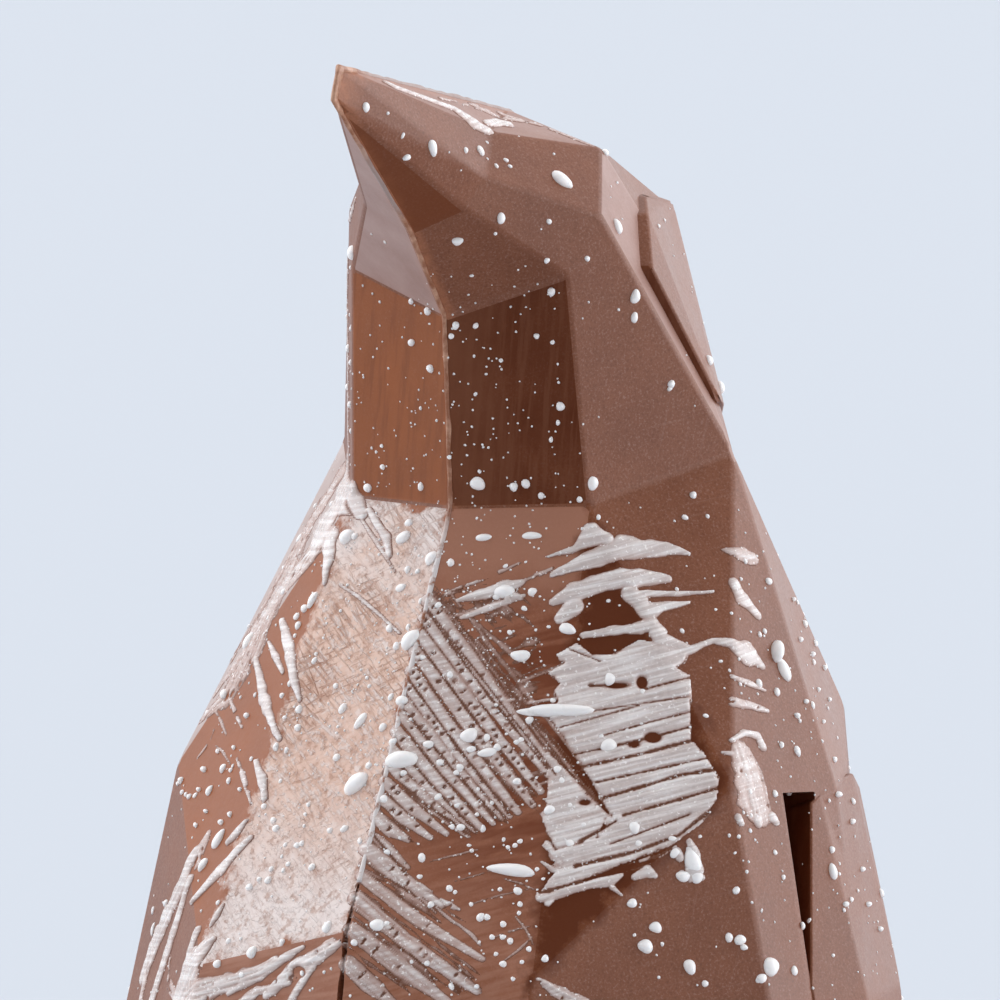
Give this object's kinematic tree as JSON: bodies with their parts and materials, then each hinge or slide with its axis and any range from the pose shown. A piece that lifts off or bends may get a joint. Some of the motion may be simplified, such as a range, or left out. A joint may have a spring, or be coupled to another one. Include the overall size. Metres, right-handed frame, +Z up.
{
  "type": "chocolate penguin",
  "caption": "Faceted milk-chocolate penguin that looks up, with white chocolate brushed and splashed on it.",
  "frame": {"origin": "middle of the flat base that the figure stands on", "axes": "+X the figure's own left, -Y its front, +Z up"},
  "size_m": [0.0912, 0.09, 0.1681],
  "materials": {
    "milk_chocolate": "satin",
    "white_chocolate": "satin"
  },
  "bodies": {
    "root": {"chocolate_penguin": "milk_chocolate"}
  },
  "joints": []
}
